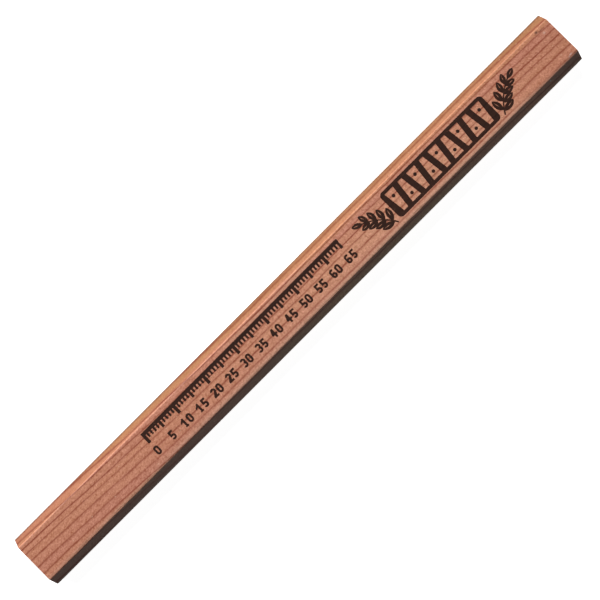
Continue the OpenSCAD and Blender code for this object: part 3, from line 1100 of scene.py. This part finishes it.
KEY_ELEVATION = math.radians(50.5)
END_ELEVATION = math.radians(4)
FILL = 0.012
FILL_COLOUR = (0.72, 0.97, 1.10, 1.0)  # the shade side of the room is a little cool
SHEEN = 0.18  # strength of the world in reflections
WHITE = (1.0, 1.0, 1.0, 1.0)
FLOOR_HALF, FLOOR_Z = 6.0, -0.00002
FLOOR_GLOW = 0.965  # near the pencil; it rises to 1 further out
FLOOR_GREY = (0.55, 0.55, 0.55, 1.0)
FLOOR_BOUNCE = 0.18  # reflectance of the floor as diffuse rays meet it
FLOOR_SHEEN = 0.22
TABLE_LIGHT = 0.35  # what the pale table sends back up into the shade
CAMERA_TURN = math.radians(45.06)  # the pencil lies a hair steeper than the frame's diagonal
CAMERA_LEAN = math.radians(2.0)  # and is seen from very slightly towards its shaded side
CAMERA_DISTANCE = 0.3287
CAMERA_AIM = (0.000221, -0.000405, (TOP - BEVEL_DROP) * MM)  # at the widest edges' height


def floor_material():
    """Glows to the camera, and shows plainer, dimmer light to glossy and diffuse rays."""
    graph = material_graph("pale_floor")
    x, y, _ = graph.split(graph.node("NewGeometry").outputs["Position"])
    radius = graph.math("SQRT", graph.plus(graph.mul(x, x), graph.mul(y, y)))
    glow = graph.ramp(radius, over=(0.15, 0.9), to=(FLOOR_GLOW, 1.0))
    path = graph.node("LightPath").outputs

    def lit(emission, diffuse):
        return graph.node("AddShader", emission.outputs[0], diffuse.outputs[0])

    seen = lit(
        graph.node("Emission", Strength=glow, Color=WHITE),
        graph.node("BsdfDiffuse", Color=FLOOR_GREY),
    )
    dim = [FLOOR_BOUNCE * c for c in FILL_COLOUR[:3]] + [1.0]
    # the order below keeps the table light first in nothing but reading
    bounce = graph.node(
        "AddShader",
        graph.node("BsdfDiffuse", Color=dim).outputs[0],
        graph.node("Emission", Color=FILL_COLOUR, Strength=TABLE_LIGHT).outputs[0],
    )
    soft = graph.node("Emission", Strength=FLOOR_SHEEN)
    direct = graph.node("MixShader", path["Is Glossy Ray"], seen.outputs[0], soft.outputs[0])
    return graph.finish(graph.node(
        "MixShader", path["Is Diffuse Ray"], direct.outputs[0], bounce.outputs[0]
    ))


def add_floor():
    mesh = bpy.data.meshes.new("floor")
    signs = ((-1, -1), (1, -1), (1, 1), (-1, 1))
    corners = [(i * FLOOR_HALF, j * FLOOR_HALF, FLOOR_Z) for i, j in signs]
    mesh.from_pydata(corners, [], [(0, 1, 2, 3)])
    mesh.materials.append(floor_material())
    add_object("floor", mesh)


def add_world():
    """White to the camera, a soft sheen in reflections and a faint cool fill elsewhere."""
    graph = Graph(bpy.data.worlds.new("studio"))
    path = graph.node("LightPath").outputs
    camera, glossy = path["Is Camera Ray"], path["Is Glossy Ray"]
    strength = graph.mul_add(glossy, times=SHEEN - FILL, plus=FILL)
    strength = graph.mul_add(camera, times=1.0 - FILL, plus=strength)
    colour = graph.mix(graph.math("MAXIMUM", camera, glossy), FILL_COLOUR, WHITE)
    background = graph.node("Background", Strength=strength, Color=colour)
    bpy.context.scene.world = graph.finish(background, "OutputWorld")


def turn_to(ob, right, up, back):
    """Point an object's X, Y and Z axes along three directions."""
    ob.rotation_mode = "QUATERNION"
    ob.rotation_quaternion = Matrix((right, up, back)).transposed().to_quaternion()


def add_area(name, direction, distance, size, watts, glints=True):
    data = bpy.data.lights.new(name, "AREA")
    data.shape = "RECTANGLE"
    data.size, data.size_y = size
    data.energy = watts
    ob = add_object(name, data)
    back = Vector(direction).normalized()
    ob.location = back * distance
    # the light's long side lies along X where it can
    right = Vector((1, 0, 0)) if abs(back.x) < 0.9 else Vector((0, 1, 0))
    up = back.cross(right).normalized()
    turn_to(ob, up.cross(back).normalized(), up, back)
    ob.visible_camera = False
    ob.visible_glossy = glints


def add_lights():
    add_area(
        "key", (-0.05, math.cos(KEY_ELEVATION), math.sin(KEY_ELEVATION)),
        distance=0.9, size=(0.9, 0.20), watts=10.9,
    )
    for side, word in ((-1, "left"), (1, "right")):
        add_area(
            "end_fill_" + word,
            (side * math.cos(END_ELEVATION), 0.12, math.sin(END_ELEVATION)),
            distance=0.75, size=(0.25, 0.05), watts=0.9, glints=False,
        )


def add_camera():
    data = bpy.data.cameras.new("camera")
    data.sensor_width = 36
    data.lens = 82.3
    data.clip_start, data.clip_end = 0.01, 10
    ob = add_object("camera", data)
    cos, sin = math.cos(CAMERA_TURN), math.sin(CAMERA_TURN)
    along = Vector((1, 0, 0))
    back = Vector((0, -math.sin(CAMERA_LEAN), math.cos(CAMERA_LEAN)))
    across = back.cross(along)
    turn_to(ob, along * cos - across * sin, along * sin + across * cos, back)
    ob.location = Vector(CAMERA_AIM) + back * CAMERA_DISTANCE
    bpy.context.scene.camera = ob


add_floor()
add_world()
add_lights()
add_camera()

view = bpy.context.scene.view_settings
view.view_transform = "Standard"
view.look = "None"
view.exposure = 0.0
view.gamma = 1.0
